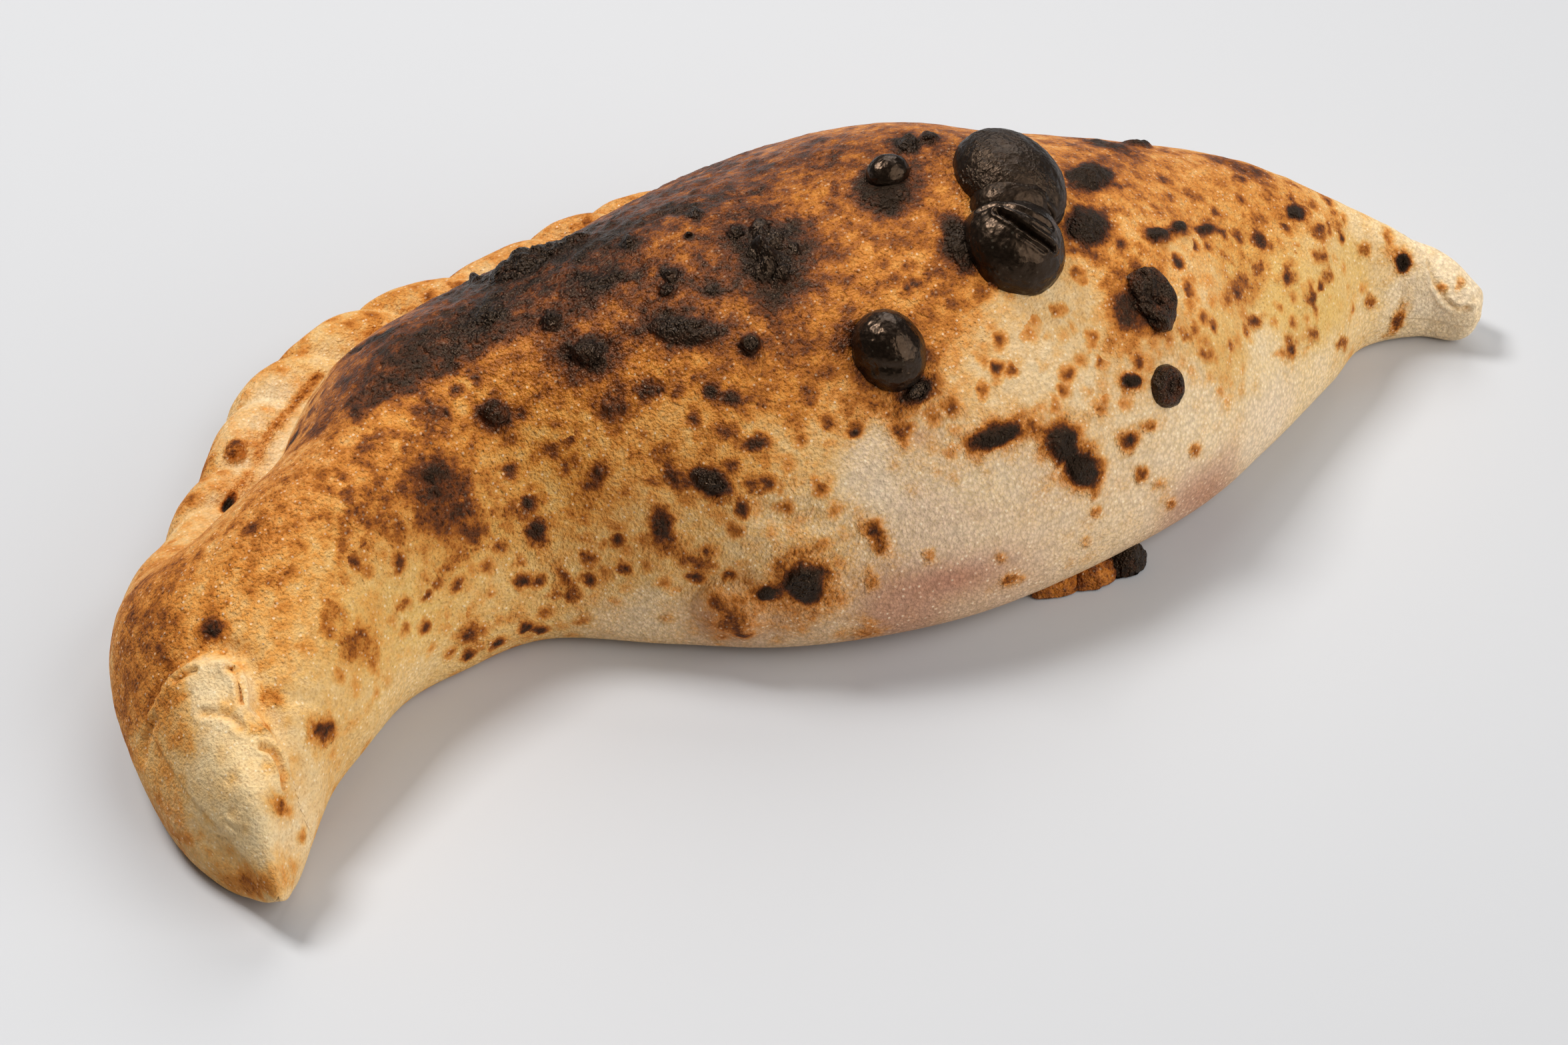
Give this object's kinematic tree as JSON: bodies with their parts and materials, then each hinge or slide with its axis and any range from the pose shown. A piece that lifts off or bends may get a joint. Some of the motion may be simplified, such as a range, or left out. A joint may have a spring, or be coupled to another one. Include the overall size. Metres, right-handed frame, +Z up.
{
  "type": "calzone",
  "caption": "Folded and sealed round of dough, baked whole: a domed crescent with a crimped rim, charred bubbles and a flat base.",
  "frame": {"origin": "middle of the box round the calzone, on the surface it lies on", "axes": "+X from the long left tip to the short right tip, +Y from the folded edge to the crimped rim, +Z up"},
  "size_m": [0.3146, 0.157, 0.0791],
  "materials": {
    "crust": "baked dough, matt where floury and satin where browned, with charred bubbles"
  },
  "bodies": {
    "root": {"calzone": "crust"}
  },
  "joints": []
}
